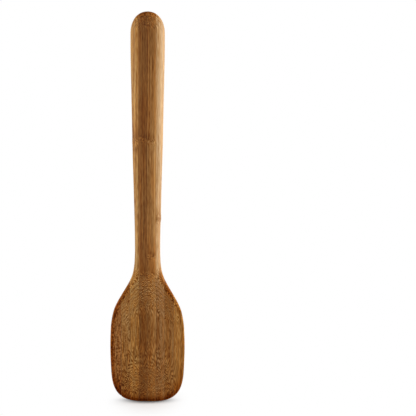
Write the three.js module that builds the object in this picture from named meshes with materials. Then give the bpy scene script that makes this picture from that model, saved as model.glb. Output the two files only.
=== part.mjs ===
// A serving spoon carved from a block of eight edge-grain bamboo strips glued face to face.
// Sizes are in millimetres. Z runs up the spoon from the tip of its bowl to the end of its handle,
// X runs across it from left to right, and the hollow of the bowl faces -Y. The origin lies on the
// ground under the middle of the block that the spoon is carved from.
import * as THREE from 'three';
import { mergeVertices } from 'three/addons/utils/BufferGeometryUtils.js';

// The block
const spoonLength = 310;
const blockDepth = 22.5;
const glueThickness = 0.15;
const centreJointX = -0.1;

// Strips from the centre joint outwards. The rim strips run on to the edge of the bowl.
const coreLeft = { name: 'left_core_strip', thickness: 6.7, colour: 0x6b4022 };
const innerLeft = { name: 'left_inner_strip', thickness: 7.1, colour: 0x8c6036 };
const outerLeft = { name: 'left_outer_strip', thickness: 7, colour: 0x815a34 };
const rimLeft = { name: 'left_rim_strip', colour: 0x7c4b28 };
const coreRight = { name: 'right_core_strip', thickness: 6.7, colour: 0x82552b };
const innerRight = { name: 'right_inner_strip', thickness: 6.8, colour: 0x87592f };
const outerRight = { name: 'right_outer_strip', thickness: 7.3, colour: 0x81552c };
const rimRight = { name: 'right_rim_strip', colour: 0x8f6031 };
const glueColour = 0x3a2212;
const bambooRoughness = 0.5;
const glueRoughness = 0.6;

// Outline seen from the front: widths, and the heights at which they are reached
const bowlWidth = 59.2;
const bowlWidestZ = 45.4;
const lowerBowlWidth = 56.4;
const neckWidth = 19.9;
const neckZ = 124;
const handleWidth = 26.5;
const handleWidestZ = 285;

// Shares of the height, and of the width or depth, on the way from one of these to the next
const shoulderShares = [[0.19, 0.976], [0.344, 0.882], [0.765, 0.071], [0.874, 0.016]];
const handleShares = [[0.25, 0.77], [0.5, 0.43], [0.75, 0.2]];
const bellyShares = [0.45, 0.64];

// The rounded tip with the flat foot cut from it, and the rounded end of the handle with its flat
const tipHeight = 29.5;
const tipFullness = 3.17;
const footWidth = 16;
const domeHeight = 17;
const domeFullness = 2.15;
const crownWidth = 2;

// Depths seen from the side
const tipDepth = 7.8;
const tipSetback = -0.4;
const neckSetback = 2.8;
const neckDepth = 13.4;
const handleDepth = 19;
const bellyZ = 66;

// The bowl: its edge, the hollow carved into it and the wood left behind the hollow
const edgeThickness = 5;
const rimWidth = 3;
const bowlWall = 5;
const hollowTopZ = 105.5;
const archRadius = 20;
const hollowRoundness = 2.2;
const creaseRadius = 1.2;

// The section changes from rounded slab to rounded bar over this stretch of the shoulder
const bowlSectionEndZ = 76;
const handleSectionStartZ = 113;
const tipSectionFullness = 14;
const bowlSectionFullness = 7;
const handleSectionFullness = 2.3;

// Fineness of the surfaces
const tipRows = 12;
const domeRows = 8;
const bowlRowStep = 7;
const shoulderRowStep = 2.6;
const handleRowStep = 16;
const turnRowSteps = [0.5, 1.3];
const leastRowStep = 0.3;
const stripColumns = 4;
const crossingHalvings = 40;
const hairline = 1e-6;
const mergeDistance = 1e-3;

const blockFront = -blockDepth / 2;
const blockBack = blockDepth / 2;

// A smooth curve through points of [height, value] that stays between neighbouring values
function curveThrough(points) {
  const last = points.length - 1;
  const slopes = [];
  for (let i = 0; i < last; i++) {
    slopes.push((points[i + 1][1] - points[i][1]) / (points[i + 1][0] - points[i][0]));
  }
  const tangents = points.map((point, i) => {
    if (i === 0 || i === last) return 0;
    const before = slopes[i - 1];
    const after = slopes[i];
    return before * after <= 0 ? 0 : (2 * before * after) / (before + after);
  });
  return (z) => {
    if (z <= points[0][0]) return points[0][1];
    if (z >= points[last][0]) return points[last][1];
    const i = points.findIndex((point) => point[0] > z) - 1;
    const span = points[i + 1][0] - points[i][0];
    const t = (z - points[i][0]) / span;
    const rise = points[i + 1][1] - points[i][1];
    const bend = tangents[i] * (1 - t) - tangents[i + 1] * t;
    const ease = t * t * (3 - 2 * t);
    return points[i][1] + rise * ease + span * t * (1 - t) * bend;
  };
}

// Points between two widths, at the given shares of the height and of the width left
function course(fromZ, fromWidth, toZ, toWidth, shares) {
  return shares.map(([height, left]) => [
    THREE.MathUtils.lerp(fromZ, toZ, height),
    THREE.MathUtils.lerp(toWidth, fromWidth, left) / 2,
  ]);
}

// Half the width of the spoon at each height, before its two ends are rounded
const bodyHalfWidth = curveThrough([
  [0, lowerBowlWidth / 2],
  [bowlWidestZ, bowlWidth / 2],
  ...course(bowlWidestZ, bowlWidth, neckZ, neckWidth, shoulderShares),
  [neckZ, neckWidth / 2],
  ...course(neckZ, neckWidth, handleWidestZ, handleWidth, handleShares),
  [handleWidestZ, handleWidth / 2],
]);

// How far a rounded end goes past the flat of a given width that is cut from it
function heightCutOff(height, fullness, flatShare) {
  return height * (1 - (1 - flatShare ** fullness) ** (1 / fullness));
}
const tipCut = heightCutOff(tipHeight, tipFullness, footWidth / lowerBowlWidth);
const domeCut = heightCutOff(domeHeight, domeFullness, crownWidth / handleWidth);

// How far into a rounded end a height lies, from 0 where the rounding starts to 1 at its tip
function intoEnd(z) {
  const down = 1 - (z + tipCut) / tipHeight;
  const up = 1 - (spoonLength + domeCut - z) / domeHeight;
  if (down > 0) return [down, tipFullness];
  return [Math.max(0, up), domeFullness];
}

// Half the width of the spoon at a height
function halfWidth(z) {
  const [end, fullness] = intoEnd(z);
  return bodyHalfWidth(z) * (1 - end ** fullness) ** (1 / fullness);
}

// Where a point lies between the middle of the spoon, 0, and its outline, 1
function reach(x, z) {
  const [end, fullness] = intoEnd(z);
  const across = Math.abs(x) / bodyHalfWidth(z);
  return Math.min(1, (across ** fullness + end ** fullness) ** (1 / fullness));
}

// Front and back of the spoon along its middle line
const tipFront = tipSetback - tipDepth / 2;
const frontLine = curveThrough([
  [0, tipFront],
  [neckZ, blockFront + neckSetback],
  [handleWidestZ, blockFront],
]);
const tipBack = tipSetback + tipDepth / 2;
const backLine = curveThrough([
  [0, tipBack],
  [bellyShares[0] * bellyZ, THREE.MathUtils.lerp(tipBack, blockBack, bellyShares[1])],
  [bellyZ, blockBack],
  [neckZ, blockFront + neckSetback + neckDepth],
  [handleWidestZ, blockFront + handleDepth],
]);
const edgeLine = curveThrough([
  [0, tipDepth],
  [tipHeight, edgeThickness],
]);
const bowlFullnessLine = curveThrough([
  [0, tipSectionFullness],
  [tipHeight, bowlSectionFullness],
]);

// 1 where the section is that of the bowl, 0 where it is that of the handle
function bowlShare(z) {
  return 1 - THREE.MathUtils.smoothstep(z, bowlSectionEndZ, handleSectionStartZ);
}

// The uncarved section at a height: its edge line, the depths before and behind it, its fullness
function sectionAt(z) {
  const share = bowlShare(z);
  const depth = backLine(z) - frontLine(z);
  const edge = THREE.MathUtils.lerp(depth, edgeLine(z), share) / 2;
  const fullness = THREE.MathUtils.lerp(handleSectionFullness, bowlFullnessLine(z), share);
  return { middle: frontLine(z) + edge, edge, belly: depth - 2 * edge, fullness };
}

// The larger of two values, rounded where they are within a radius of each other
function roundedMax(a, b, radius) {
  const near = Math.max(radius - Math.abs(a - b), 0) / radius;
  return Math.max(a, b) + (near * near * radius) / 4;
}

// The floor of the hollow, which lies before the wood outside the hollow
const hollowDepth = blockBack - bowlWall - frontLine(bellyZ);
function hollowFloor(x, z) {
  const archedZ = z + (x * x) / (2 * archRadius);
  const along = z < bellyZ ? (bellyZ - z) / bellyZ : (archedZ - bellyZ) / (hollowTopZ - bellyZ);
  const across = reach(x, z) / (1 - rimWidth / bodyHalfWidth(z));
  const lengthwise = 1 - Math.max(along, 0) ** 2;
  const crosswise = 1 - across ** hollowRoundness;
  const inside = lengthwise > 0 && crosswise > 0;
  const share = inside ? lengthwise * crosswise : Math.min(lengthwise, crosswise);
  return frontLine(z) + hollowDepth * share;
}

// The front and back surfaces of the spoon at a point of its outline's plane
function surfacesAt(x, z) {
  const { middle, edge, belly, fullness } = sectionAt(z);
  const towardsEdge = reach(x, z);
  const roundness = (1 - towardsEdge ** fullness) ** (1 / fullness);
  const front = roundedMax(middle - edge * roundness, hollowFloor(x, z), creaseRadius);
  const back = middle + edge * roundness + belly * (1 - towardsEdge ** 2);
  return { front, back, middle };
}

// Heights at which the surfaces are drawn: closer where the outline turns
function roundedRows(count, fullness, flatShare) {
  const first = Math.asin(flatShare ** (fullness / 2));
  const rows = [];
  for (let i = 0; i <= count; i++) {
    const angle = THREE.MathUtils.lerp(first, Math.PI / 2, i / count);
    rows.push(1 - Math.cos(angle) ** (2 / fullness));
  }
  return rows;
}
function evenRows(from, to, step) {
  const count = Math.max(1, Math.round((to - from) / step));
  return Array.from({ length: count }, (unused, i) => from + ((to - from) * (i + 1)) / count);
}
function drawnHeights() {
  const tip = roundedRows(tipRows, tipFullness, footWidth / lowerBowlWidth);
  const dome = roundedRows(domeRows, domeFullness, crownWidth / handleWidth);
  const tipTop = tipHeight - tipCut;
  const domeFoot = spoonLength - domeHeight + domeCut;
  return [
    ...tip.map((share) => share * tipHeight - tipCut),
    ...evenRows(tipTop, bowlSectionEndZ, bowlRowStep),
    ...evenRows(bowlSectionEndZ, handleSectionStartZ, shoulderRowStep),
    ...evenRows(handleSectionStartZ, domeFoot, handleRowStep),
    ...dome.map((share) => spoonLength - share * domeHeight + domeCut).reverse().slice(1),
  ];
}

// The stretches of height over which the spoon is wider than a distance from its middle
const allRows = drawnHeights();
function crossing(distance, low, high) {
  const rising = halfWidth(high) > halfWidth(low);
  let [from, to] = [low, high];
  for (let i = 0; i < crossingHalvings; i++) {
    const mid = (from + to) / 2;
    if (halfWidth(mid) > distance === rising) to = mid;
    else from = mid;
  }
  return (from + to) / 2;
}
function crossings(distance) {
  const found = [];
  for (let i = 1; i < allRows.length; i++) {
    const [low, high] = [allRows[i - 1], allRows[i]];
    if (halfWidth(low) > distance !== halfWidth(high) > distance) {
      found.push(crossing(distance, low, high));
    }
  }
  return found;
}

// The stretches of height at which a slab between two planes is part of the spoon, as lists of rows
function rowsOfSlab(left, right) {
  const nearest = left <= 0 && right >= 0 ? 0 : Math.min(Math.abs(left), Math.abs(right));
  const ends = nearest === 0 ? [] : crossings(nearest);
  const turns = [...new Set([Math.abs(left), Math.abs(right)])].flatMap(crossings);
  const bounds = [...ends];
  if (halfWidth(allRows[0]) > nearest) bounds.unshift(allRows[0]);
  if (halfWidth(allRows.at(-1)) > nearest) bounds.push(allRows.at(-1));
  const stretches = [];
  for (let i = 0; i + 1 < bounds.length; i += 2) {
    const within = (z) => z >= bounds[i] && z <= bounds[i + 1];
    const rows = [...new Set([bounds[i], bounds[i + 1], ...turns])].filter(within);
    const nearTurns = turnRowSteps.flatMap((step) => turns.flatMap((z) => [z - step, z + step]));
    for (const z of [...nearTurns, ...allRows].filter(within)) {
      if (rows.every((other) => Math.abs(other - z) > leastRowStep)) rows.push(z);
    }
    stretches.push(rows.sort((a, b) => a - b));
  }
  return stretches;
}

// Positions across a slab, closer together towards its side that is further from the middle
function positionsAcross(from, to, half, columns) {
  const outwards = Math.abs(to) > Math.abs(from);
  return Array.from({ length: columns + 1 }, (unused, i) => {
    const quarterTurn = ((i / columns) * Math.PI) / 2;
    const share = outwards ? Math.sin(quarterTurn) : 1 - Math.cos(quarterTurn);
    return THREE.MathUtils.lerp(Math.max(from, -half), Math.min(to, half), share);
  });
}

// A closed solid between two upright planes, trimmed by the spoon's outline, front and back
function slabGeometry(left, right, rows, columns) {
  const points = [];
  const triangles = [];
  const grid = rows.map((z) => {
    const half = halfWidth(z);
    return positionsAcross(left, right, half, columns).map((x) => {
      const { front, back, middle } = surfacesAt(x, z);
      const onOutline = Math.abs(x) >= half - hairline;
      points.push(x, onOutline ? middle : front, z, x, onOutline ? middle : back, z);
      return points.length / 3 - 2;
    });
  });
  const quad = (a, b, c, d) => triangles.push(a, b, c, a, c, d);
  for (let r = 0; r + 1 < grid.length; r++) {
    const [low, high] = [grid[r], grid[r + 1]];
    for (let c = 0; c < columns; c++) {
      quad(low[c], low[c + 1], high[c + 1], high[c]);
      quad(low[c + 1] + 1, low[c] + 1, high[c] + 1, high[c + 1] + 1);
    }
    quad(low[0] + 1, low[0], high[0], high[0] + 1);
    quad(low[columns], low[columns] + 1, high[columns] + 1, high[columns]);
  }
  const [bottom, top] = [grid[0], grid.at(-1)];
  for (let c = 0; c < columns; c++) {
    quad(bottom[c + 1], bottom[c], bottom[c] + 1, bottom[c + 1] + 1);
    quad(top[c], top[c + 1], top[c + 1] + 1, top[c] + 1);
  }
  return closedGeometry(points, triangles);
}

// Joins points that coincide and drops the triangles that this leaves without area
function closedGeometry(points, triangles) {
  const loose = new THREE.BufferGeometry();
  loose.setAttribute('position', new THREE.Float32BufferAttribute(points, 3));
  loose.setIndex(triangles);
  const joined = mergeVertices(loose, mergeDistance);
  const index = Array.from(joined.index.array);
  const kept = [];
  for (let i = 0; i < index.length; i += 3) {
    const [a, b, c] = index.slice(i, i + 3);
    if (a !== b && b !== c && c !== a) kept.push(a, b, c);
  }
  joined.setIndex(kept);
  joined.computeVertexNormals();
  return joined;
}

const spoon = new THREE.Group();

// Adds one slab of the block to the spoon. A slab that the neck cuts in two gives two meshes.
function addSlab(name, left, right, columns, look) {
  rowsOfSlab(left, right).forEach((rows, i) => {
    const material = new THREE.MeshStandardMaterial({ metalness: 0, ...look });
    const mesh = new THREE.Mesh(slabGeometry(left, right, rows, columns), material);
    mesh.name = i === 0 ? name : `${name}_${i + 1}`;
    spoon.add(mesh);
  });
}

// Lays strips and the glue behind each one outwards from the centre joint, to one side
function layStrips(side, strips, firstGlue) {
  const edge = bowlWidth / 2;
  let from = centreJointX + (side * glueThickness) / 2;
  strips.forEach(({ name, thickness, colour }, i) => {
    const outermost = i === strips.length - 1;
    const to = outermost ? side * edge : from + side * (thickness - glueThickness);
    addSlab(name, Math.min(from, to), Math.max(from, to), stripColumns, {
      color: colour,
      roughness: bambooRoughness,
    });
    if (outermost) return;
    const glueEnd = to + side * glueThickness;
    addGlue(firstGlue + side * i, Math.min(to, glueEnd));
    from = glueEnd;
  });
}
function addGlue(number, left) {
  addSlab(`glue_line_${number}`, left, left + glueThickness, 1, {
    color: glueColour,
    roughness: glueRoughness,
  });
}

layStrips(-1, [coreLeft, innerLeft, outerLeft, rimLeft], 3);
addGlue(4, centreJointX - glueThickness / 2);
layStrips(1, [coreRight, innerRight, outerRight, rimRight], 5);

export default spoon;
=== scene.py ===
import math
from collections import namedtuple

import bpy
import numpy as np
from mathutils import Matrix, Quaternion, Vector, noise


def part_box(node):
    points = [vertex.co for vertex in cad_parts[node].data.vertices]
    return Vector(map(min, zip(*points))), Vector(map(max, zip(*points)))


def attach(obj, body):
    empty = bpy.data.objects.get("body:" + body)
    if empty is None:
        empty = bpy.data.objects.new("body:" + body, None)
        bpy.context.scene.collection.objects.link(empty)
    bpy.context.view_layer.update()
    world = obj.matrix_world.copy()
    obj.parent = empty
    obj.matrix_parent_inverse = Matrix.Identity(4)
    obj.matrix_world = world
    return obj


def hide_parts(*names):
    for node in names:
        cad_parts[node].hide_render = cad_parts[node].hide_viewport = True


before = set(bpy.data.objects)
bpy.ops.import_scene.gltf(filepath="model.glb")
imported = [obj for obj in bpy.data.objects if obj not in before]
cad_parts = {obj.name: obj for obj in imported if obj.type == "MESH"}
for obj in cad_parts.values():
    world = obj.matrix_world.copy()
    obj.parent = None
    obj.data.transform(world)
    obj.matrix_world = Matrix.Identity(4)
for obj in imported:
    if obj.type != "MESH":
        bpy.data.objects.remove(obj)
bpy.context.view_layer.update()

MM = 0.001

# Strips from left to right
RIM_LEFT = "left_rim_strip"
OUTER_LEFT = "left_outer_strip"
INNER_LEFT = "left_inner_strip"
CORE_LEFT = "left_core_strip"
CORE_RIGHT = "right_core_strip"
INNER_RIGHT = "right_inner_strip"
OUTER_RIGHT = "right_outer_strip"
RIM_RIGHT = "right_rim_strip"

# The form that the spoon is carved to
SPOON_LENGTH = 310
BLOCK_DEPTH = 22.5
BLOCK_FRONT = -BLOCK_DEPTH / 2
BLOCK_BACK = BLOCK_DEPTH / 2
# Its outline: the widths at a few heights, before its ends are rounded
LOWER_BOWL_WIDTH = 56.4
BOWL_WIDTH = 59.2
BOWL_WIDEST_Z = 45.4
NECK_WIDTH = 19.9
NECK_Z = 124
HANDLE_WIDTH = 26.5
HANDLE_WIDEST_Z = 285
# Points of the outline between these: the share of the height, and of the width still to go
SHOULDER_SHARES = [(0.19, 0.976), (0.344, 0.882), (0.765, 0.071), (0.874, 0.016)]
HANDLE_SHARES = [(0.25, 0.77), (0.5, 0.43), (0.75, 0.2)]
# The rounded ends, each cut off flat: height of the rounding, its fullness, width of the flat
TIP_HEIGHT = 29.5
TIP_FULLNESS = 3.17
FOOT_WIDTH = 16
DOME_HEIGHT = 17
DOME_FULLNESS = 2.15
CROWN_WIDTH = 2
# From the side: the tip's middle lies behind the block's, and the neck's front behind its front
TIP_SETBACK = -0.4
TIP_DEPTH = 7.8
NECK_SETBACK = 2.8
NECK_DEPTH = 13.4
HANDLE_DEPTH = 19
# The height where the belly is deepest, and a point on the back below it, as shares of its height
# and depth
BELLY_Z = 66
BELLY_SHARES = (0.45, 0.64)
# The edge of the bowl, and the hollow in it with its arched upper end
EDGE_THICKNESS = 5
RIM_WIDTH = 3
BOWL_WALL = 5
HOLLOW_TOP_Z = 105.5
ARCH_RADIUS = 20
HOLLOW_ROUNDNESS = 2.2
CREASE_RADIUS = 1.2
# The section across: how full it is at the tip, in the bowl and along the handle
TIP_SECTION_FULLNESS = 14
BOWL_SECTION_FULLNESS = 7
HANDLE_SECTION_FULLNESS = 2.3
BOWL_SECTION_END_Z = 76
HANDLE_SECTION_START_Z = 113
# Between these heights the rim of the bowl gives way to the edge of the handle
RIM_END_Z = (102, 114)

# Fineness of the meshes
TIP_ROWS = 34
DOME_ROWS = 26
ROW_STEP = 0.9
LEAST_ROW_STEP = 0.22
STRIP_COLUMNS = 12
FILM_COLUMNS = 1
# Points and planes closer than this meet, and points equal to so many decimals are one
MEETING = 1e-6
WELD_DECIMALS = 5
# How often the span in which a joint meets the outline is halved
HALVINGS = 40
# Normals are divided by at least this length
LEAST_LENGTH = 1e-12


def lerp(a, b, t):
    return a + (b - a) * t


def smoothstep(value, low, high):
    t = np.clip((value - low) / (high - low), 0, 1)
    return t * t * (3 - 2 * t)


# A smooth curve through points of (height, value) that stays between neighbouring values
def curve_through(points):
    heights, values = (np.array(column, float) for column in zip(*points))
    slopes = np.diff(values) / np.diff(heights)
    tangents = np.zeros(len(points))
    for i in range(1, len(points) - 1):
        before, after = slopes[i - 1], slopes[i]
        if before * after > 0:
            tangents[i] = 2 * before * after / (before + after)

    def curve(z):
        z = np.clip(z, heights[0], heights[-1])
        i = np.clip(np.searchsorted(heights, z, side="right") - 1, 0, len(points) - 2)
        span = heights[i + 1] - heights[i]
        t = (z - heights[i]) / span
        bend = tangents[i] * (1 - t) - tangents[i + 1] * t
        rise = (values[i + 1] - values[i]) * t * t * (3 - 2 * t)
        return values[i] + rise + span * t * (1 - t) * bend

    return curve


# Points between two widths, at the given shares of the height and of the width left
def course(from_z, from_width, to_z, to_width, shares):
    return [(lerp(from_z, to_z, h), lerp(to_width, from_width, left) / 2) for h, left in shares]


body_half_width = curve_through(
    [
        (0, LOWER_BOWL_WIDTH / 2),
        (BOWL_WIDEST_Z, BOWL_WIDTH / 2),
        *course(BOWL_WIDEST_Z, BOWL_WIDTH, NECK_Z, NECK_WIDTH, SHOULDER_SHARES),
        (NECK_Z, NECK_WIDTH / 2),
        *course(NECK_Z, NECK_WIDTH, HANDLE_WIDEST_Z, HANDLE_WIDTH, HANDLE_SHARES),
        (HANDLE_WIDEST_Z, HANDLE_WIDTH / 2),
    ]
)


# How far a rounded end goes past the flat of a given width that is cut from it
def height_cut_off(height, fullness, flat_share):
    return height * (1 - (1 - flat_share**fullness) ** (1 / fullness))


TIP_CUT = height_cut_off(TIP_HEIGHT, TIP_FULLNESS, FOOT_WIDTH / LOWER_BOWL_WIDTH)
DOME_CUT = height_cut_off(DOME_HEIGHT, DOME_FULLNESS, CROWN_WIDTH / HANDLE_WIDTH)


# How far into a rounded end a height lies, and the fullness of that end
def into_end(z):
    down = 1 - (z + TIP_CUT) / TIP_HEIGHT
    up = 1 - (SPOON_LENGTH + DOME_CUT - z) / DOME_HEIGHT
    end = np.where(down > 0, down, np.maximum(0, up))
    return end, np.where(down > 0, TIP_FULLNESS, DOME_FULLNESS)


def half_width(z):
    end, fullness = into_end(z)
    return body_half_width(z) * (1 - end**fullness) ** (1 / fullness)


# Where a point lies between the middle of the spoon, 0, and its outline, 1
def reach(x, z):
    end, fullness = into_end(z)
    across = np.abs(x) / body_half_width(z)
    return np.minimum(1, (across**fullness + end**fullness) ** (1 / fullness))


# How near a point lies to the outline, 1, for the marks of oil and wear. It equals reach along the
# handle. In the bowl and on its shoulders, a line of one value keeps one distance from the outline.
def nearness(x, z):
    share = reach(x, z)
    by_distance = 1 - (1 - share) * body_half_width(z) / (BOWL_WIDTH / 2)
    return by_distance + (share - by_distance) * smoothstep(z, *RIM_END_Z)


# Front and back of the spoon along its middle line
TIP_FRONT = TIP_SETBACK - TIP_DEPTH / 2
TIP_BACK = TIP_SETBACK + TIP_DEPTH / 2
front_line = curve_through(
    [(0, TIP_FRONT), (NECK_Z, BLOCK_FRONT + NECK_SETBACK), (HANDLE_WIDEST_Z, BLOCK_FRONT)]
)
back_line = curve_through(
    [
        (0, TIP_BACK),
        (BELLY_SHARES[0] * BELLY_Z, lerp(TIP_BACK, BLOCK_BACK, BELLY_SHARES[1])),
        (BELLY_Z, BLOCK_BACK),
        (NECK_Z, BLOCK_FRONT + NECK_SETBACK + NECK_DEPTH),
        (HANDLE_WIDEST_Z, BLOCK_FRONT + HANDLE_DEPTH),
    ]
)
edge_line = curve_through([(0, TIP_DEPTH), (TIP_HEIGHT, EDGE_THICKNESS)])
bowl_fullness_line = curve_through([(0, TIP_SECTION_FULLNESS), (TIP_HEIGHT, BOWL_SECTION_FULLNESS)])
HOLLOW_DEPTH = BLOCK_BACK - BOWL_WALL - front_line(BELLY_Z)


# 1 where the section is that of the bowl, 0 where it is that of the handle
def bowl_share(z):
    return 1 - smoothstep(z, BOWL_SECTION_END_Z, HANDLE_SECTION_START_Z)


# The larger of two values, rounded where they are within a radius of each other
def rounded_max(a, b, radius):
    near = np.maximum(radius - np.abs(a - b), 0) / radius
    return np.maximum(a, b) + near * near * radius / 4


# The floor of the hollow, which lies before the wood outside the hollow
def hollow_floor(x, z):
    arched_z = z + x * x / (2 * ARCH_RADIUS)
    below = (BELLY_Z - z) / BELLY_Z
    above = (arched_z - BELLY_Z) / (HOLLOW_TOP_Z - BELLY_Z)
    along = np.where(z < BELLY_Z, below, above)
    across = reach(x, z) / (1 - RIM_WIDTH / body_half_width(z))
    lengthwise = 1 - np.maximum(along, 0) ** 2
    crosswise = 1 - across**HOLLOW_ROUNDNESS
    inside = (lengthwise > 0) & (crosswise > 0)
    share = np.where(inside, lengthwise * crosswise, np.minimum(lengthwise, crosswise))
    return front_line(z) + HOLLOW_DEPTH * share


# The front and back surfaces, and the outline's place between them
def surfaces_at(x, z):
    share = bowl_share(z)
    depth = back_line(z) - front_line(z)
    edge = lerp(depth, edge_line(z), share) / 2
    fullness = lerp(HANDLE_SECTION_FULLNESS, bowl_fullness_line(z), share)
    middle = front_line(z) + edge
    towards_edge = reach(x, z)
    roundness = (1 - towards_edge**fullness) ** (1 / fullness)
    front = rounded_max(middle - edge * roundness, hollow_floor(x, z), CREASE_RADIUS)
    back = middle + edge * roundness + (depth - 2 * edge) * (1 - towards_edge**2)
    return front, back, middle


# Heights at which a rounded end is drawn, as shares of its height: closer where the outline turns
def rounded_rows(count, fullness, flat_share):
    first = math.asin(flat_share ** (fullness / 2))
    angles = np.linspace(first, math.pi / 2, count + 1)
    return 1 - np.abs(np.cos(angles)) ** (2 / fullness)


# Where the outline crosses an upright plane between two heights
def crossing(distance, low, high):
    rising = half_width(high) > half_width(low)
    for _ in range(HALVINGS):
        mid = (low + high) / 2
        if (half_width(mid) > distance) == rising:
            high = mid
        else:
            low = mid
    return (low + high) / 2


# All heights at which the surfaces are drawn, with those at which a joint meets the outline
def drawn_heights(planes):
    tip = rounded_rows(TIP_ROWS, TIP_FULLNESS, FOOT_WIDTH / LOWER_BOWL_WIDTH)
    dome = rounded_rows(DOME_ROWS, DOME_FULLNESS, CROWN_WIDTH / HANDLE_WIDTH)
    tip_rows = tip * TIP_HEIGHT - TIP_CUT
    dome_rows = (SPOON_LENGTH + DOME_CUT - dome * DOME_HEIGHT)[::-1]
    count = round((dome_rows[0] - tip_rows[-1]) / ROW_STEP)
    even_rows = np.linspace(tip_rows[-1], dome_rows[0], count + 1)[1:-1]
    base = np.concatenate([tip_rows, even_rows, dome_rows])
    base[0], base[-1] = 0, SPOON_LENGTH
    kept = [base[0], base[-1]]
    for distance in sorted({abs(x) for x in planes}):
        wider = half_width(base) > distance
        for i in np.nonzero(wider[1:] != wider[:-1])[0]:
            kept.append(crossing(distance, base[i], base[i + 1]))
    fixed = np.array(kept)
    rest = [z for z in base if np.abs(fixed - z).min() > LEAST_ROW_STEP]
    return np.array(sorted([*kept, *rest]))


# The slabs of the block from left to right, each between two planes that its CAD node gives. The
# rim strips run on to the edge of the bowl.
def slabs():
    found = []
    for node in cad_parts:
        low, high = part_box(node)
        found.append([node, low.x / MM, high.x / MM])
    found.sort(key=lambda slab: slab[1])
    found[0][1] = -BOWL_WIDTH / 2
    found[-1][2] = BOWL_WIDTH / 2
    for before, after in zip(found, found[1:]):
        before[2] = after[1] = (before[2] + after[1]) / 2
    return found


# Shares of the way across a slab, closer together towards its side that is further from the middle
def column_shares(left, right, columns):
    quarter_turn = np.linspace(0, math.pi / 2, columns + 1)
    outwards = abs(right) > abs(left)
    return np.sin(quarter_turn) if outwards else 1 - np.cos(quarter_turn)


SLABS = slabs()
PLANES = [right for _, _, right in SLABS[:-1]]
HEIGHTS = drawn_heights(PLANES)


# Knuckles of the bamboo: the strip, the height, half the height of the swelling, how far it stands
# out, and how far above it the wood is darkest
Knuckle = namedtuple("Knuckle", "strip height half_height rise shade_lift")
KNUCKLES = [
    Knuckle(INNER_LEFT, 209, 3.0, 0.10, 3.6),
    Knuckle(CORE_LEFT, 212, 2.6, 0.08, 3.1),
    Knuckle(CORE_RIGHT, 210, 2.8, 0.08, 3.4),
    Knuckle(CORE_RIGHT, 118, 2.4, 0.10, 2.9),
    Knuckle(INNER_RIGHT, 148, 3.8, 0.32, 1.5),
]
# How far a swelling fades past the joints, and how much steeper it is below its middle
KNUCKLE_FADE = 1.2
KNUCKLE_STEEPER = 1.8
# The slow waves that sanding by hand leaves: their height, their length up and across the spoon
SANDING_WAVE = 0.1
SANDING_LENGTH = 34
SANDING_BREADTH = 11
# Swellings and waves die out this far before the flats at both ends
EVEN_END = 6


def knuckle_swelling(x, z):
    swelling = np.zeros_like(x)
    spans = {node: (left, right) for node, left, right in SLABS}
    for knuckle in KNUCKLES:
        left, right = spans[knuckle.strip]
        within = smoothstep(np.minimum(x - left, right - x), -KNUCKLE_FADE, KNUCKLE_FADE)
        above = (z - knuckle.height) / knuckle.half_height
        above = np.where(above < 0, above * KNUCKLE_STEEPER, above)
        swelling += knuckle.rise * within * np.exp(-(above**2))
    return swelling


def sanding_waves(x, y, z):
    waves = np.zeros_like(x)
    for index in np.ndindex(x.shape):
        place = Vector((x[index], y[index], 0)) / SANDING_BREADTH
        place.z = z[index] / SANDING_LENGTH
        waves[index] = noise.noise(place)
    return waves * SANDING_WAVE


# Normals at the points of one side, each the sum of those of the faces round it
def grid_normals(points, outwards):
    across = points[:, 1:] - points[:, :-1]
    upwards = points[1:] - points[:-1]
    lower = np.cross(across[:-1], upwards[:, :-1])
    upper = np.cross(across[1:], upwards[:, 1:])
    face = (lower + upper) * outwards
    normals = np.zeros_like(points)
    normals[:-1, :-1] += face
    normals[1:, :-1] += face
    normals[:-1, 1:] += face
    normals[1:, 1:] += face
    return normals


# Unit normals of the front and the back, which meet smoothly along the outline
def surface_normals(sides, on_left, on_right):
    normals = [grid_normals(points, outwards) for points, outwards in zip(sides, (1, -1))]
    for edge in (on_left, on_right):
        total = sum((side * edge[..., None]).sum(axis=1) for side in normals)
        for side in normals:
            side[edge] = np.repeat(total, edge.sum(axis=1), axis=0)
    lengths = [np.linalg.norm(side, axis=-1, keepdims=True) for side in normals]
    return [side / np.maximum(length, LEAST_LENGTH) for side, length in zip(normals, lengths)]


# The places across the spoon at every height, and the first and last column of each slab
def spread_columns(half):
    columns = []
    spans = {}
    for node, left, right in SLABS:
        count = FILM_COLUMNS if node.startswith("glue") else STRIP_COLUMNS
        shares = column_shares(left, right, count)
        from_x = np.clip(left, -half, half)
        to_x = np.clip(right, -half, half)
        positions = from_x[:, None] + (to_x - from_x)[:, None] * shares[None, :]
        first = len(columns) - 1 if columns else 0
        spans[node] = (first, first + count)
        columns.extend(positions.T[1 if columns else 0 :])
    return np.array(columns).T, spans


# The whole spoon as a grid for the front and one for the back, which the slabs share out
def spoon_grids():
    half = half_width(HEIGHTS)
    x, spans = spread_columns(half)
    z = np.repeat(HEIGHTS[:, None], x.shape[1], axis=1)
    on_left = x <= -half[:, None] + MEETING
    on_right = x >= half[:, None] - MEETING
    front, back, middle = surfaces_at(x, z)
    carved = []
    for y in (front, back):
        carved.append(np.stack([x, np.where(on_left | on_right, middle, y), z], axis=-1))
    to_an_end = np.minimum(z, SPOON_LENGTH - z)
    lifted = np.clip(to_an_end / EVEN_END, 0, 1)
    points = []
    for side, normals in zip(carved, surface_normals(carved, on_left, on_right)):
        lift = knuckle_swelling(x, z) + sanding_waves(x, side[..., 1], z)
        points.append(side + normals * (lift * lifted)[..., None])
    for edge in (on_left, on_right):
        points[1][edge] = points[0][edge]
    return {
        "points": points,
        "normals": surface_normals(points, on_left, on_right),
        "nearness": nearness(x, z),
        "half": half,
        "spans": spans,
    }


GRIDS = spoon_grids()
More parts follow.
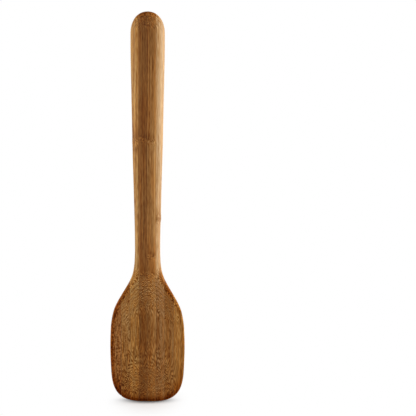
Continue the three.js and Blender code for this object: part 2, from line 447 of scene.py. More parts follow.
# The mesh attribute that brings the nearness of the outline to the materials
NEARNESS = "nearness"


# The part of the grids that a slab takes: the rows in which it has any width with one more at
# either end, and its columns
def slab_block(node, left, right):
    first, last = GRIDS["spans"][node]
    nearest = 0 if left <= 0 <= right else min(abs(left), abs(right))
    present = np.nonzero(GRIDS["half"] > nearest + MEETING)[0]
    from_row = max(present[0] - 1, 0)
    to_row = min(present[-1] + 1, len(HEIGHTS) - 1)
    return slice(from_row, to_row + 1), slice(first, last + 1)


# The points of a slab without doubles, the nearness of each to the outline, and the number of the
# point at each place of the front and the back
def welded(sides, near):
    rows, columns = near.shape
    vertices = []
    near_vertices = []
    index = np.zeros((2, rows, columns), int)
    seen = {}
    for r, c in np.ndindex(rows, columns):
        for side, points in enumerate(sides):
            key = tuple(np.round(points[r, c], WELD_DECIMALS))
            if key not in seen:
                seen[key] = len(vertices)
                vertices.append(points[r, c] * MM)
                near_vertices.append(near[r, c])
            index[side, r, c] = seen[key]
    return vertices, near_vertices, index


# The faces of a slab and the normals at their corners. Of corners that are one point, one is kept,
# and a face with fewer than three is left out.
def slab_faces(index, front_normals, back_normals):
    faces = []
    normals = []

    def add(corners, corner_normals):
        kept = [i for i in range(4) if corners[i] != corners[i - 1]]
        if len({corners[i] for i in kept}) < 3:
            return
        faces.append([corners[i] for i in kept])
        normals.extend(corner_normals[i] for i in kept)

    rows, columns = front_normals.shape[:2]
    for r in range(rows - 1):
        for c in range(columns - 1):
            places = [(r, c), (r, c + 1), (r + 1, c + 1), (r + 1, c)]
            add([index[(0, *p)] for p in places], [front_normals[p] for p in places])
            places = [(r, c + 1), (r, c), (r + 1, c), (r + 1, c + 1)]
            add([index[(1, *p)] for p in places], [back_normals[p] for p in places])
        wall = [(1, 0), (0, 0), (0, 1), (1, 1)]
        add([index[side, r + up, 0] for side, up in wall], [(-1, 0, 0)] * 4)
        wall = [(0, 0), (1, 0), (1, 1), (0, 1)]
        add([index[side, r + up, columns - 1] for side, up in wall], [(1, 0, 0)] * 4)
    for c in range(columns - 1):
        bottom = [index[0, 0, c + 1], index[0, 0, c], index[1, 0, c], index[1, 0, c + 1]]
        add(bottom, [(0, 0, -1)] * 4)
        top = [index[0, -1, c], index[0, -1, c + 1], index[1, -1, c + 1], index[1, -1, c]]
        add(top, [(0, 0, 1)] * 4)
    return faces, normals


# A closed mesh for one slab. Front and back share the points of the outline.
def slab_mesh(node, left, right):
    block = slab_block(node, left, right)
    sides = [side[block] for side in GRIDS["points"]]
    vertices, near_vertices, index = welded(sides, GRIDS["nearness"][block])
    faces, normals = slab_faces(index, *(side[block] for side in GRIDS["normals"]))
    mesh = bpy.data.meshes.new(node + "_wood")
    mesh.from_pydata(vertices, [], faces)
    mesh.polygons.foreach_set("use_smooth", [True] * len(faces))
    mesh.normals_split_custom_set([tuple(n) for n in normals])
    attribute = mesh.attributes.new(NEARNESS, "FLOAT", "POINT")
    attribute.data.foreach_set("value", near_vertices)
    mesh.update()
    return mesh


# Camera: the photograph's place, lens and framing
CAMERA_ELEVATION = math.radians(10)
CAMERA_DISTANCE = 1.35
CAMERA_X = 0.0474
CAMERA_AIM_Z = 0.1565
CAMERA_LENS = 148.7
CAMERA_SENSOR = 36
CAMERA_ROLL = math.radians(0.37)


def make_camera():
    data = bpy.data.cameras.new("camera")
    data.lens = CAMERA_LENS
    data.sensor_width = CAMERA_SENSOR
    camera = bpy.data.objects.new("camera", data)
    bpy.context.scene.collection.objects.link(camera)
    aim = Vector((CAMERA_X, 0, CAMERA_AIM_Z))
    back = Vector((0, -math.cos(CAMERA_ELEVATION), math.sin(CAMERA_ELEVATION)))
    camera.location = aim + back * CAMERA_DISTANCE
    camera.rotation_mode = "QUATERNION"
    look = (-back).to_track_quat("-Z", "Y")
    camera.rotation_quaternion = look @ Quaternion((0, 0, 1), CAMERA_ROLL)
    bpy.context.scene.camera = camera


# The highest value that a curve up the spoon can take
CURVE_TOP = 2


# A short way to write shader nodes. Most of its functions add a node and give its first output.
class Shader:
    def __init__(self, tree):
        self.tree = tree
        tree.nodes.clear()

    # A node with its settings and its inputs, which are given by name or as i0, i1, i2
    def node(self, kind, settings=None, **inputs):
        made = self.tree.nodes.new("ShaderNode" + kind)
        for key, value in (settings or {}).items():
            setattr(made, key, value)
        for key, value in inputs.items():
            name = key.replace("_", " ")
            socket = made.inputs[int(name[1:]) if name[1:].isdigit() else name]
            self.feed(socket, value)
        return made

    def feed(self, socket, value):
        if isinstance(value, bpy.types.NodeSocket):
            self.tree.links.new(value, socket)
        else:
            socket.default_value = value

    def math(self, operation, a, b=0.0, c=0.0):
        return self.node("Math", {"operation": operation}, i0=a, i1=b, i2=c).outputs[0]

    def vector(self, operation, a, b=(0, 0, 0)):
        return self.node("VectorMath", {"operation": operation}, i0=a, i1=b).outputs[0]

    def scale(self, vector, factor):
        return self.node("VectorMath", {"operation": "SCALE"}, i0=vector, Scale=factor).outputs[0]

    def length(self, vector):
        return self.node("VectorMath", {"operation": "LENGTH"}, i0=vector).outputs["Value"]

    def combine(self, x, y, z):
        return self.node("CombineXYZ", X=x, Y=y, Z=z).outputs[0]

    def split(self, vector):
        return self.node("SeparateXYZ", i0=vector).outputs

    # A value brought from one range to another, smoothly and no further than its ends
    def ramp(self, value, low, high, to_low=0.0, to_high=1.0):
        settings = {"interpolation_type": "SMOOTHSTEP"}
        made = self.node("MapRange", settings, i0=value, i1=low, i2=high, i3=to_low, i4=to_high)
        return made.outputs[0]

    # A value that changes smoothly up the spoon, through a list of (height, value)
    def steps(self, z, points):
        made = self.node("FloatCurve", Value=self.math("DIVIDE", z, SPOON_LENGTH))
        curve = made.mapping.curves[0]
        curve.points[0].location = (0, points[0][1] / CURVE_TOP)
        curve.points[1].location = (1, points[-1][1] / CURVE_TOP)
        for height, value in points:
            curve.points.new(height / SPOON_LENGTH, value / CURVE_TOP)
        made.mapping.update()
        return self.math("MULTIPLY", made.outputs[0], CURVE_TOP)

    # Noise from 0 to 1, with a frequency along each axis. Its second output holds three such values.
    def noises(self, place, frequency, detail):
        settings = {"noise_dimensions": "3D"}
        scaled = self.vector("MULTIPLY", place, frequency)
        return self.node("TexNoise", settings, Vector=scaled, Scale=1.0, Detail=detail).outputs

    def noise(self, place, frequency, detail=1.0):
        return self.noises(place, frequency, detail)[0]

    # A colour, and that colour times a tint where the share is 1
    def tinted(self, share, colour, tint):
        made = self.node("Mix", {"data_type": "RGBA"})
        self.feed(made.inputs[0], share)
        self.feed(made.inputs[6], colour)
        self.feed(made.inputs[7], self.vector("MULTIPLY", colour, tint))
        return made.outputs[2]


# An empty material, its shader and its output
def new_material(name):
    material = bpy.data.materials.new(name)
    material.use_nodes = True
    s = Shader(material.node_tree)
    return material, s, s.node("OutputMaterial")


def srgb(red, green, blue):
    def linear(value):
        value /= 255
        return value / 12.92 if value <= 0.04045 else ((value + 0.055) / 1.055) ** 2.4

    return (linear(red), linear(green), linear(blue))


# What the oil finish reflects of the bright surroundings everywhere: it is taken off the tones
HAZE = (0.010, 0.006, 0.003)
LEAST_TONE = 0.003


def tone(red, green, blue):
    return tuple(max(value - haze, LEAST_TONE) for value, haze in zip(srgb(red, green, blue), HAZE))


# Tone of a strip, how much lighter it grows from its left face to its right, how much lighter its
# fibre bundles are than the ground, a seed, how light the strip is at a few heights, how much of
# the oil its rim has soaked up, how speckled it is in the bowl, and how much lighter it is on the
# handle next to its left and right joint
Look = namedtuple(
    "Look", "tone rise bundles seed lightness soaked specks beside", defaults=[1, 0, (0, 0)]
)
LOOKS = {
    RIM_LEFT: Look(
        tone(136, 85, 42),
        rise=0.12,
        bundles=-0.45,
        seed=3,
        lightness=[(0, 0.5), (10, 0.62), (20, 0.98), (62, 1.1), (84, 0.95)],
        specks=3.2,
    ),
    OUTER_LEFT: Look(
        tone(140, 94, 48),
        rise=0,
        bundles=0.65,
        seed=11,
        lightness=[(0, 0.62), (14, 0.86), (48, 1.05), (74, 1.27), (96, 0.78)],
        specks=2.0,
    ),
    INNER_LEFT: Look(
        tone(149, 103, 53),
        # Its lighter left side is partly a painted highlight of the light from the left
        rise=-0.38,
        bundles=0.45,
        seed=17,
        lightness=[
            (0, 0.7), (16, 0.94), (60, 1.06), (82, 1.17), (108, 1.24), (130, 1.2), (165, 1.22),
            (198, 1.14), (206, 0.9), (219, 0.9), (228, 1.15), (262, 1.25), (295, 1.1),
        ],
        specks=0.7,
    ),
    CORE_LEFT: Look(
        tone(112, 68, 31),
        rise=0.08,
        bundles=0.27,
        seed=29,
        lightness=[
            (0, 1.06), (18, 1.15), (54, 1.13), (72, 1.24), (92, 1.58), (110, 1.05), (132, 1.05),
            (170, 1.15), (196, 1.08), (217, 0.98), (250, 1.0), (290, 1.0),
        ],
        beside=(0.32, 0),
    ),
    CORE_RIGHT: Look(
        tone(133, 86, 42),
        rise=0.35,
        bundles=0.27,
        seed=37,
        lightness=[
            (20, 1.02), (50, 1.12), (92, 1.33), (106, 1.1), (116, 1.0), (146, 1.18), (190, 1.17),
            (207, 1.27), (222, 1.18), (262, 1.04), (294, 0.92),
        ],
        # The lighter tone beside its right joint is a painted highlight, the soft edge of the light
        # on the strip to its right
        beside=(0, 0.36),
    ),
    # On the handle this strip is painted much lighter than in the bowl: partly its own lighter tone,
    # partly a painted highlight of the light from the right
    INNER_RIGHT: Look(
        tone(134, 90, 49),
        rise=0.3,
        bundles=0.35,
        seed=43,
        lightness=[
            (50, 1.02), (86, 1.22), (100, 1.3), (114, 1.84), (135, 1.83), (160, 1.71),
            (235, 1.83), (300, 1.77),
        ],
        beside=(0.05, 0),
    ),
    OUTER_RIGHT: Look(
        tone(131, 87, 44),
        rise=0.12,
        bundles=0.4,
        seed=53,
        lightness=[(0, 0.84), (20, 0.97), (45, 1.07), (84, 1.0)],
        soaked=1.25,
        specks=0.6,
    ),
    RIM_RIGHT: Look(
        tone(141, 94, 45),
        rise=0.12,
        bundles=0.3,
        seed=61,
        lightness=[(0, 0.85), (24, 1.01), (45, 1.14), (60, 1.19), (74, 1.14)],
        soaked=0.45,
    ),
}
# How far one seed shifts the noises of a strip
SEED_SHIFT = (7.3, 3.1, 19.7)

# Between these heights the looks of the bowl give way to those of the handle
HANDLE_FROM_Z = (96, 125)

# Noises have a frequency per millimetre, across, in depth and up the spoon.

# How the fibres drift to the side: the frequency of the drift, and how far it goes across and in
# depth
Drift = namedtuple("Drift", "frequency across depth")
WANDER = Drift((0.09, 0.09, 0.016), 2.0, 1.2)
WAVER = Drift((0.4, 0.4, 0.1), 1.0, 0.4)
WAVER_ON_HANDLE = 0.15
SWIRL_AT_KNUCKLES = Drift((0.45, 0.45, 0.45), 4.0, 4.0)

# Fibre bundles: the depth from row to row, the spacing in a row, and how far apart they stand out
# from their row
BUNDLE_ROW = 0.47
BUNDLE_PITCH = 2.4
BUNDLE_DOTS = 0.8
# Under the neck the rows run together into lines: how far bundles stand out there, and the heights
# at which that begins and ends
LINES_DOTS = 0.35
LINES_FROM_Z = (90, 102)
LINES_TO_Z = (112, 130)
# The rows zigzag across a strip: the width of one slant of the zigzag and its depth
ZIGZAG_WIDTH = 2.4
ZIGZAG_DEPTH = 1.1
# The zigzag swings from one way to the other with a noise, between two levels of it. Between these
# heights it goes down to the share that it has on the handle.
SWING_FREQUENCY = (0.15, 0.15, 0.05)
SWING_LEVELS = (0.35, 0.65)
SWING_Z = (74, 88)
SWING_ON_HANDLE = 0.3
# The rows lean back below the neck: between these heights, by this much
LEAN_Z = (80, 110)
LEAN = 5

# Slant of the surface to the fibres at which bundles show weakly, and at which they show fully
SLANT = (0.05, 0.16)
# The least that bundles show, in the bowl and on the handle
FLAT_BOWL = 0.4
FLAT_HANDLE = 0.03
# Bundles are clearer at some places than at others: noise, its levels, and how clear they are
CLEAR_FREQUENCY = (0.5, 0.5, 0.25)
CLEAR_LEVELS = (0.3, 0.7)
CLEARNESS = (0.7, 2.0)
# The arches on the front under the neck show more: where they begin and end up the spoon, the
# depth in which that fades, and how much more it is from one place across to another
ARCHES_FROM_Z = (70, 84)
ARCHES_TO_Z = (97, 107)
ARCHES_FADE_Y = (-3, 3)
ARCHES_X = (4, 14)
ARCHES_MORE = (0.85, 1.7)
# On the dome at the handle's end bundles show less
DOME_Z = (284, 292)
DOME_BUNDLES = 0.55

# Streaks along the fibres and patches: their frequencies and how much lighter or darker they are
FINE_FREQUENCY = (2.1, 1.6, 0.17)
FINE_GRAIN = 1.6
BROAD_FREQUENCY = (1.0, 0.7, 0.02)
BROAD_GRAIN = 0.8
PATCH_FREQUENCY = (0.07, 0.07, 0.03)
PATCHES = 0.25
# Thin threads, which stand out on the handle: how much lighter they are, the distance from one to
# the next, how they slope in depth, how far the broad streaks push them, and the noise that makes
# them come and go, with its levels and the most that it makes of them
THREADS = 0.2
THREAD_PITCH = 1.9
THREAD_SLOPE = 0.4
THREAD_WANDER = 6
THREAD_FREQUENCY = (0.4, 0.4, 0.02)
THREAD_LEVELS = (0.3, 0.7)
THREAD_MOST = 2.0
# How far the tone next to a joint reaches into a strip, and the heights between which it comes in
BESIDE_JOINT = (0.3, 1.9)
BESIDE_Z = (96, 108)
# Cut ends of the fibres: the slants between which they come in, their tint, how speckled they are,
# the noise of all specks, and the heights between which those of the bowl end
CUT_ENDS_SLANT = (0.3, 0.9)
CUT_ENDS_TINT = (1.15, 1.02, 0.8)
CUT_ENDS_SPECKS = 5.2
SPECK_FREQUENCY = (0.8, 0.8, 0.65)
SPECKS_END_Z = (55, 95)
# The least and the most that all grain together makes of the tone
GRAIN_LIMITS = (0.4, 1.7)

# Dark wood is redder than light wood: powers of the brightness for red, green and blue, below the
# mean brightness and above it
DARK_HUE = (1.0, 1.6, 2.6)
LIGHT_HUE = (1.0, 1.2, 1.35)
# The same for how light a strip is at a height
HEIGHT_HUE = (1.0, 1.6, 2.45)
# Some streaks are redder than others: noise, its levels, and how far red, green and blue go up or
# down with it
STREAK_FREQUENCY = (0.7, 0.7, 0.015)
STREAK_LEVELS = (0.32, 0.68)
STREAK_HUE = (0.05, -0.04, -0.2)

# A knuckle's bands slope across the strip and wobble
KNUCKLE_TILT = 0.22
KNUCKLE_WOBBLE = 3.0
WOBBLE_FREQUENCY = (0.5, 0.5, 0.2)
# Flecks in it: their noise, how strong they are, the level of the noise above which they are
# lighter than the wood, how that rises in light wood, and how dark they get at most
FLECK_FREQUENCY = (0.8, 0.8, 0.6)
KNUCKLE_FLECKS = 3.8
FLECKS_LEVEL = 0.35
FLECKS_LEVEL_RISE = 0.13
DARKEST_FLECK = -0.15
# The wood above a knuckle is darker by this much
KNUCKLE_DARKER = 0.22

# Marks along the outline, which come in between two values of nearness. The rim of the bowl and the
# wood near its tip have soaked up most oil.
RIM_TINT = (0.72, 0.54, 0.32)
RIM_REACH = (0.84, 0.95)
TIP_TINT = (0.82, 0.66, 0.48)
TIP_REACH = (0.6, 1.0)
TIP_END_Z = (8, 30)
# The oil on the rim fades towards the neck on the left side
LEFT_RIM_Z = (82, 99)
LEFT_RIM_LEAST = 0.45
# The very edge of the rim, lighter as a painted highlight, and a darker line inside it, painted
# shade along the rim
EDGE_HIGHLIGHT_REACH = (0.965, 0.985)
EDGE_HIGHLIGHT_TINT = (1.3, 1.36, 1.25)
PAINTED_SHADE_FROM = (0.92, 0.94)
PAINTED_SHADE_TO = (0.953, 0.968)
PAINTED_SHADE_TINT = (0.78, 0.62, 0.48)

# The surface: how far fine fibres and bundles stand up, as shares of the height of the bumps, and
# how rough it is, with what bundles and cut ends add to that
FINE_BUMP = 0.6
BUNDLE_BUMP = -0.2
BUMP_STRENGTH = 0.35
BUMP_HEIGHT = 0.12 * MM
ROUGHNESS = 0.42
BUNDLE_ROUGHNESS = -0.02
CUT_ENDS_ROUGHNESS = 0.3
OIL_IOR = 1.46
# The colour of its shine, how strongly the bowl shines, which is washed drier, and the handle, and
# how much less cut ends do
SHEEN_TINT = (0.92, 0.785, 0.48, 1)
SHEEN_BOWL = 0.07
SHEEN_HANDLE = 0.22
CUT_ENDS_SHEEN = -0.8
# Rubbed dull towards the outline
DULL_REACH = (0.8, 0.97)
DULL_SHINE = 0.15
# The soft gloss of fibre ends at a grazing look
NAP = 0.02
NAP_TINT = (1.0, 0.78, 0.45, 1)
NAP_ROUGHNESS = 0.4


# What the functions of the bamboo share about a point: its place in the block, that place shifted by
# the strip's seed, its place among the fibres, how far it lies towards the outline, the slant of the
# surface to the fibres, and shares for cut ends of fibres and for the handle
Point = namedtuple("Point", "x y z shifted fibres nearness slant cut_ends on_handle")


# Bands at the knuckles of a strip, from 0 to 1, or None where it has none: where its fibres tangle,
# and the darker wood above that
def knuckle_bands(s, node, left, right, x, z, shifted):
    tilted = s.math("MULTIPLY_ADD", x, KNUCKLE_TILT, z)
    wobble = s.noise(shifted, WOBBLE_FREQUENCY, 2.0)
    tilted = s.math("MULTIPLY_ADD", wobble, KNUCKLE_WOBBLE, tilted)
    bands = [None, None]
    for knuckle in KNUCKLES:
        if knuckle.strip != node:
            continue
        centre = knuckle.height + (KNUCKLE_WOBBLE + KNUCKLE_TILT * (left + right)) / 2
        for i, lift in enumerate((0, knuckle.shade_lift)):
            away = s.math("SUBTRACT", tilted, centre + lift)
            away = s.math("DIVIDE", away, knuckle.half_height)
            band = s.math("EXPONENT", s.math("MULTIPLY", s.math("MULTIPLY", away, away), -1.0))
            bands[i] = s.math("MAXIMUM", bands[i], band) if bands[i] else band
    return bands


def sideways(s, place, drift):
    swing = s.noises(place, drift.frequency, 1.0)[1]
    swing = s.vector("SUBTRACT", swing, (0.5, 0.5, 0.5))
    return s.vector("MULTIPLY", swing, (drift.across, drift.depth, 0.0))


# Where a point lies among the fibres, which wander slowly, and wildly at a knuckle
def among_fibres(s, shifted, z, tangle):
    fibres = s.vector("ADD", shifted, sideways(s, shifted, WANDER))
    share = s.ramp(z, *HANDLE_FROM_Z, 1.0, WAVER_ON_HANDLE)
    fibres = s.vector("ADD", fibres, s.scale(sideways(s, shifted, WAVER), share))
    if tangle is not None:
        swirl = sideways(s, shifted, SWIRL_AT_KNUCKLES)
        fibres = s.vector("ADD", fibres, s.scale(swirl, tangle))
    return fibres


# Bundles of fibres, rods up the strip: rows of them one behind the other, every second row set half
# a step over. Above 0 in a bundle, below 0 between them.
def bundle_rows(s, at):
    swing = s.ramp(s.noise(at.shifted, SWING_FREQUENCY), *SWING_LEVELS, -1.0, 1.0)
    swing = s.math("MULTIPLY", swing, s.ramp(at.z, *SWING_Z, 1.0, SWING_ON_HANDLE))
    x, y, _ = s.split(at.fibres)
    zigzag = s.math("PINGPONG", x, ZIGZAG_WIDTH)
    y = s.math("MULTIPLY_ADD", s.math("MULTIPLY", zigzag, swing), ZIGZAG_DEPTH / ZIGZAG_WIDTH, y)
    y = s.math("ADD", y, s.ramp(at.z, *LEAN_Z, 0.0, LEAN))
    depth = s.math("MULTIPLY", y, 2 * math.pi / BUNDLE_ROW)
    across = s.math("COSINE", s.math("MULTIPLY", x, 2 * math.pi / BUNDLE_PITCH))
    stagger = s.math("COSINE", s.math("MULTIPLY", depth, 0.5))
    dots = s.math("MULTIPLY", across, stagger)
    in_lines = s.math("MULTIPLY", s.ramp(at.z, *LINES_FROM_Z), s.ramp(at.z, *LINES_TO_Z, 1.0, 0.0))
    apart = s.math("MULTIPLY_ADD", in_lines, LINES_DOTS - BUNDLE_DOTS, BUNDLE_DOTS)
    return s.math("MULTIPLY_ADD", dots, apart, s.math("COSINE", depth))


# How strongly the bundles show: most where the surface cuts them at a slant
def bundle_strength(s, look, at):
    least = s.ramp(at.z, *HANDLE_FROM_Z, FLAT_BOWL, FLAT_HANDLE)
    shown = s.math("MULTIPLY", s.ramp(at.slant, *SLANT, least, 1.0), look.bundles)
    clear = s.ramp(s.noise(at.shifted, CLEAR_FREQUENCY, 2.0), *CLEAR_LEVELS, *CLEARNESS)
    shown = s.math("MULTIPLY", shown, clear)
    arches = s.math("MULTIPLY", s.ramp(at.z, *ARCHES_FROM_Z), s.ramp(at.z, *ARCHES_TO_Z, 1.0, 0.0))
    arches = s.math("MULTIPLY", arches, s.ramp(at.y, *ARCHES_FADE_Y, 1.0, 0.0))
    arches = s.math("MULTIPLY", arches, s.ramp(at.x, *ARCHES_X, *ARCHES_MORE))
    shown = s.math("MULTIPLY", shown, s.math("ADD", arches, 1.0))
    return s.math("MULTIPLY", shown, s.ramp(at.z, *DOME_Z, 1.0, DOME_BUNDLES))


# A value from 0 to 1, such as a noise, taken about its middle, times an amount, added to a sum
def add_about_middle(s, value, amount, total):
    return s.math("MULTIPLY_ADD", s.math("SUBTRACT", value, 0.5), amount, total)


# Streaks along the fibres, patches and threads, about 0
def streaks(s, at, fine):
    broad = s.noise(at.fibres, BROAD_FREQUENCY, 2.0)
    patches = s.noise(at.shifted, PATCH_FREQUENCY, 2.0)
    x, y, _ = s.split(at.fibres)
    threads = s.math("MULTIPLY_ADD", y, THREAD_SLOPE, x)
    threads = s.math("MULTIPLY", threads, 2 * math.pi / THREAD_PITCH)
    threads = s.math("MULTIPLY_ADD", broad, THREAD_WANDER, threads)
    strength = s.ramp(s.noise(at.fibres, THREAD_FREQUENCY), *THREAD_LEVELS, 0.0, THREAD_MOST)
    threads = s.math("MULTIPLY", s.math("COSINE", threads), strength)
    grain = add_about_middle(s, fine, FINE_GRAIN, 0.0)
    grain = add_about_middle(s, broad, BROAD_GRAIN, grain)
    grain = add_about_middle(s, patches, PATCHES, grain)
    return s.math("MULTIPLY_ADD", threads, s.math("MULTIPLY", at.on_handle, THREADS), grain)


# The lighter tone next to the joints of the handle, added to the grain. Beside the right joint of
# the right core strip it is a painted highlight.
def add_beside_joints(s, look, at, joints, grain):
    x = s.split(at.fibres)[0]
    for joint, lighter in zip(joints, look.beside):
        if lighter:
            away = s.math("ABSOLUTE", s.math("SUBTRACT", x, joint + look.seed * SEED_SHIFT[0]))
            near = s.ramp(away, *BESIDE_JOINT, lighter, 0.0)
            grain = s.math("MULTIPLY_ADD", near, s.ramp(at.z, *BESIDE_Z), grain)
    return grain


# The flecks of tangled fibres at the knuckles and the darker wood above them, added to the grain
def add_knuckles(s, at, bands, lightness, contrast, grain):
    tangle, shade = bands
    level = s.math("MULTIPLY_ADD", lightness, FLECKS_LEVEL_RISE, FLECKS_LEVEL)
    flecks = s.math("SUBTRACT", s.noise(at.shifted, FLECK_FREQUENCY), level)
    flecks = s.math("MULTIPLY", s.math("MULTIPLY", flecks, KNUCKLE_FLECKS), contrast)
    grain = s.math("MULTIPLY_ADD", tangle, s.math("MAXIMUM", flecks, DARKEST_FLECK), grain)
    return s.math("MULTIPLY_ADD", shade, -KNUCKLE_DARKER, grain)


# The specks of the cut ends, and of some strips in the bowl, added to the grain
def add_specks(s, look, at, grain):
    speckled = s.ramp(at.z, *SPECKS_END_Z, look.specks, 0.0)
    speckled = s.math("MULTIPLY_ADD", at.cut_ends, CUT_ENDS_SPECKS, speckled)
    return add_about_middle(s, s.noise(at.shifted, SPECK_FREQUENCY), speckled, grain)


# The colour of the wood: the strip's tone, times its grain, times how light it is at that height
def wood_colour(s, look, at, grain, lightness, contrast):
    channels = []
    for dark_power, light_power, height_power in zip(DARK_HUE, LIGHT_HUE, HEIGHT_HUE):
        darkened = s.math("POWER", grain, dark_power)
        channel = s.math("MINIMUM", darkened, s.math("POWER", grain, light_power))
        channels.append(s.math("MULTIPLY", channel, s.math("POWER", lightness, height_power)))
    wood = s.vector("MULTIPLY", s.combine(*channels), look.tone)
    redness = s.ramp(s.noise(at.fibres, STREAK_FREQUENCY), *STREAK_LEVELS, -1.0, 1.0)
    redness = s.math("MULTIPLY", redness, contrast)
    hue = [s.math("MULTIPLY_ADD", redness, change, 1.0) for change in STREAK_HUE]
    wood = s.vector("MULTIPLY", wood, s.combine(*hue))
    return s.tinted(at.cut_ends, wood, CUT_ENDS_TINT)


# The wood with the marks of oil at the rim and the tip of the bowl, a painted highlight along the
# very edge of the rim and painted shade in a line inside it. A strip that lies left of the middle
# has less oil near the neck.
def oil_and_painted_rim_light(s, look, at, is_left, wood):
    soaked = s.ramp(at.z, *RIM_END_Z, look.soaked, 0.0)
    if is_left:
        soaked = s.math("MULTIPLY", soaked, s.ramp(at.z, *LEFT_RIM_Z, 1.0, LEFT_RIM_LEAST))
    rim = s.math("MULTIPLY", soaked, s.ramp(at.nearness, *RIM_REACH))
    colour = s.tinted(rim, wood, RIM_TINT)
    tip = s.math("MULTIPLY", s.ramp(at.nearness, *TIP_REACH), s.ramp(at.z, *TIP_END_Z, 1.0, 0.0))
    colour = s.tinted(tip, colour, TIP_TINT)
    on_bowl = s.ramp(at.z, *RIM_END_Z, 1.0, 0.0)
    # Painted highlight along the very edge of the rim
    edge_highlight = s.math("MULTIPLY", s.ramp(at.nearness, *EDGE_HIGHLIGHT_REACH), on_bowl)
    colour = s.tinted(edge_highlight, colour, EDGE_HIGHLIGHT_TINT)
    # Painted shade: a darker line just inside the edge of the rim
    line = s.ramp(at.nearness, *PAINTED_SHADE_FROM)
    line = s.math("MULTIPLY", line, s.ramp(at.nearness, *PAINTED_SHADE_TO, 1.0, 0.0))
    line = s.math("MULTIPLY", line, s.math("MINIMUM", soaked, 1.0))
    return s.tinted(line, colour, PAINTED_SHADE_TINT)


# The surface of the wood under its thin coat of oil
def wood_surface(s, at, colour, fine, bundles):
    height = s.math("MULTIPLY_ADD", fine, FINE_BUMP, s.math("MULTIPLY", bundles, BUNDLE_BUMP))
    bump = s.node("Bump", Strength=BUMP_STRENGTH, Distance=BUMP_HEIGHT, Height=height)
    roughness = s.math("MULTIPLY_ADD", bundles, BUNDLE_ROUGHNESS, ROUGHNESS)
    roughness = s.math("MULTIPLY_ADD", at.cut_ends, CUT_ENDS_ROUGHNESS, roughness)
    shine = s.ramp(at.z, *HANDLE_FROM_Z, SHEEN_BOWL, SHEEN_HANDLE)
    shine = s.math("MULTIPLY", shine, s.math("MULTIPLY_ADD", at.cut_ends, CUT_ENDS_SHEEN, 1.0))
    shine = s.math("MULTIPLY", shine, s.ramp(at.nearness, *DULL_REACH, 1.0, DULL_SHINE))
    shader = s.node("BsdfPrincipled", Base_Color=colour, Roughness=roughness, IOR=OIL_IOR)
    s.feed(shader.inputs["Specular IOR Level"], shine)
    s.feed(shader.inputs["Specular Tint"], SHEEN_TINT)
    s.feed(shader.inputs["Sheen Weight"], NAP)
    s.feed(shader.inputs["Sheen Roughness"], NAP_ROUGHNESS)
    s.feed(shader.inputs["Sheen Tint"], NAP_TINT)
    s.feed(shader.inputs["Normal"], bump.outputs[0])
    return shader.outputs[0]


# The bamboo of one strip, in the block's own coordinates, so that every cut shows it as carved
def bamboo(node, left, right):
    look = LOOKS[node]
    material, s, output = new_material("bamboo_" + node)
    coordinates = s.node("TexCoord").outputs
    place = s.vector("MULTIPLY", coordinates["Object"], (1 / MM,) * 3)
    x, y, z = s.split(place)
    shifted = s.vector("ADD", place, [look.seed * step for step in SEED_SHIFT])
    bands = knuckle_bands(s, node, left, right, x, z, shifted)
    has_knuckle = bands[0] is not None
    slant = s.math("ABSOLUTE", s.split(coordinates["Normal"])[2])
    at = Point(
        x,
        y,
        z,
        shifted,
        fibres=among_fibres(s, shifted, z, bands[0]),
        nearness=s.node("Attribute", {"attribute_name": NEARNESS}).outputs["Fac"],
        slant=slant,
        cut_ends=s.ramp(slant, *CUT_ENDS_SLANT),
        on_handle=s.ramp(z, *HANDLE_FROM_Z),
    )
    bundles = bundle_rows(s, at)
    fine = s.noise(at.fibres, FINE_FREQUENCY)

    # The grain as a factor on the strip's tone. It shows less in a light handle.
    lightness = s.steps(z, look.lightness)
    softer = s.math("DIVIDE", 1.0, s.math("MAXIMUM", lightness, 1.0))
    contrast = s.math("MULTIPLY_ADD", at.on_handle, s.math("SUBTRACT", softer, 1.0), 1.0)
    grain = s.math("MULTIPLY_ADD", streaks(s, at, fine), contrast, 1.0)
    across = s.node("MapRange", i0=x, i1=left, i2=right).outputs[0]
    grain = add_about_middle(s, across, look.rise, grain)
    grain = add_beside_joints(s, look, at, (left, right), grain)
    grain = s.math("MULTIPLY_ADD", bundles, bundle_strength(s, look, at), grain)
    if has_knuckle:
        grain = add_knuckles(s, at, bands, lightness, contrast, grain)
    grain = add_specks(s, look, at, grain)
    least, most = GRAIN_LIMITS
    grain = s.math("MINIMUM", s.math("MAXIMUM", grain, least), most)

    wood = wood_colour(s, look, at, grain, lightness, contrast)
    colour = oil_and_painted_rim_light(s, look, at, right < 0, wood)
    s.tree.links.new(wood_surface(s, at, colour, fine, bundles), output.inputs[0])
    return material


# The cured glue, whose tone changes slowly up the joint. Its frequencies are per metre.
GLUE_TONE = srgb(92, 57, 30)
GLUE_FREQUENCY = (900, 900, 60)
GLUE_LEVELS = (0.25, 0.75)
GLUE_SHADES = (0.6, 1.5)
GLUE_ROUGHNESS = 0.5


def glue():
    material, s, output = new_material("glue_film")
    place = s.node("TexCoord").outputs["Object"]
    clouds = s.noise(place, GLUE_FREQUENCY, 2.0)
    colour = s.scale(GLUE_TONE, s.ramp(clouds, *GLUE_LEVELS, *GLUE_SHADES))
    shader = s.node("BsdfPrincipled", Base_Color=colour, Roughness=GLUE_ROUGHNESS)
    s.feed(shader.inputs["Specular Tint"], SHEEN_TINT)
    s.tree.links.new(shader.outputs[0], output.inputs[0])
    return material


def make_spoon():
    film = glue()
    for node, left, right in SLABS:
        piece = bpy.data.objects.new(node + "_grained", slab_mesh(node, left, right))
        bpy.context.scene.collection.objects.link(piece)
        piece.data.materials.append(film if node.startswith("glue") else bamboo(node, left, right))
        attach(piece, "root")
        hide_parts(node)


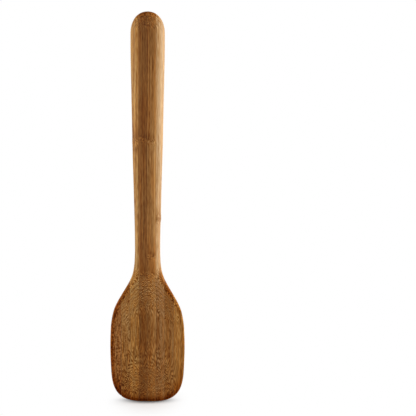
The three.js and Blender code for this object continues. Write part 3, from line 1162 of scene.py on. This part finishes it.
# White floor: round the foot of the spoon it shows the shadow, and further out the camera sees it
# plain white. The zone of the shadow is an oval, given by how fast it fades across and in depth, and
# a shadow is painted on the floor as a darker grey in a smaller oval, where the spoon touches it.
FLOOR_SIZE = 8
FLOOR_TONE = 0.9
FLOOR_OVAL = (1.4, 0.8, 1)
FLOOR_FADE = (0.005, 0.05)
PAINTED_SHADOW_OVAL = (0.4, 1, 1)
PAINTED_SHADOW_FADE = (0.003, 0.013)
PAINTED_SHADOW_SHARE = 0.2


def make_floor():
    mesh = bpy.data.meshes.new("floor")
    h = FLOOR_SIZE / 2
    mesh.from_pydata([(-h, -h, 0), (h, -h, 0), (h, h, 0), (-h, h, 0)], [], [(0, 1, 2, 3)])
    floor = bpy.data.objects.new("floor", mesh)
    bpy.context.scene.collection.objects.link(floor)
    material, s, output = new_material("floor_white")
    place = s.node("TexCoord").outputs["Object"]
    # Painted contact shadow: the floor's grey darkens towards the spoon's foot
    from_painted_shadow = s.length(s.vector("MULTIPLY", place, PAINTED_SHADOW_OVAL))
    grey = s.ramp(from_painted_shadow, *PAINTED_SHADOW_FADE, PAINTED_SHADOW_SHARE * FLOOR_TONE, FLOOR_TONE)
    diffuse = s.node("BsdfDiffuse", i0=s.combine(grey, grey, grey))
    seen = s.node("LightPath").outputs["Is Camera Ray"]
    far = s.ramp(s.length(s.vector("MULTIPLY", place, FLOOR_OVAL)), *FLOOR_FADE)
    white = s.node("Emission", i0=(1, 1, 1, 1), i1=1.0).outputs[0]
    share = s.math("MULTIPLY", seen, far)
    both = s.node("MixShader", i0=share, i1=diffuse.outputs[0], i2=white)
    s.tree.links.new(both.outputs[0], output.inputs[0])
    mesh.materials.append(material)


# Plain white surroundings: full white to the camera and in reflections, softer as light
WORLD_LIGHT = 0.7


def make_world():
    world = bpy.data.worlds.new("studio")
    world.use_nodes = True
    bpy.context.scene.world = world
    s = Shader(world.node_tree)
    output = s.node("OutputWorld")
    path = s.node("LightPath").outputs
    seen = s.math("MAXIMUM", path["Is Camera Ray"], path["Is Glossy Ray"])
    seen = s.math("MAXIMUM", seen, path["Is Transmission Ray"])
    strength = s.math("MULTIPLY_ADD", seen, 1 - WORLD_LIGHT, WORLD_LIGHT)
    background = s.node("Background", i0=(1, 1, 1, 1), i1=strength)
    s.tree.links.new(background.outputs[0], output.inputs[0])


# Softboxes: name, place, aim, width, height, power
SOFTBOXES = [
    ("right_softbox", (0.85, 0.13, 0.22), (0, 0, 0.19), 0.2, 0.55, 8.6),
    ("left_softbox", (-1.0, -0.09, 0.25), (0, 0, 0.17), 1.0, 0.9, 6.0),
    ("front_softbox", (-0.1, -1.5, 0.4), (0, 0, 0.15), 1.8, 1.4, 4.0),
    ("top_softbox", (0, 0.05, 1.2), (0, 0, 0), 1.0, 1.0, 1.0),
]


def make_lights():
    for name, place, aim, width, height, power in SOFTBOXES:
        data = bpy.data.lights.new(name, "AREA")
        data.shape = "RECTANGLE"
        data.size = width
        data.size_y = height
        data.energy = power
        lamp = bpy.data.objects.new(name, data)
        lamp.location = place
        lamp.rotation_mode = "QUATERNION"
        lamp.rotation_quaternion = (Vector(aim) - Vector(place)).to_track_quat("-Z", "Y")
        bpy.context.scene.collection.objects.link(lamp)


make_camera()
make_floor()
make_world()
make_lights()
make_spoon()

bpy.context.scene.view_settings.view_transform = "Standard"
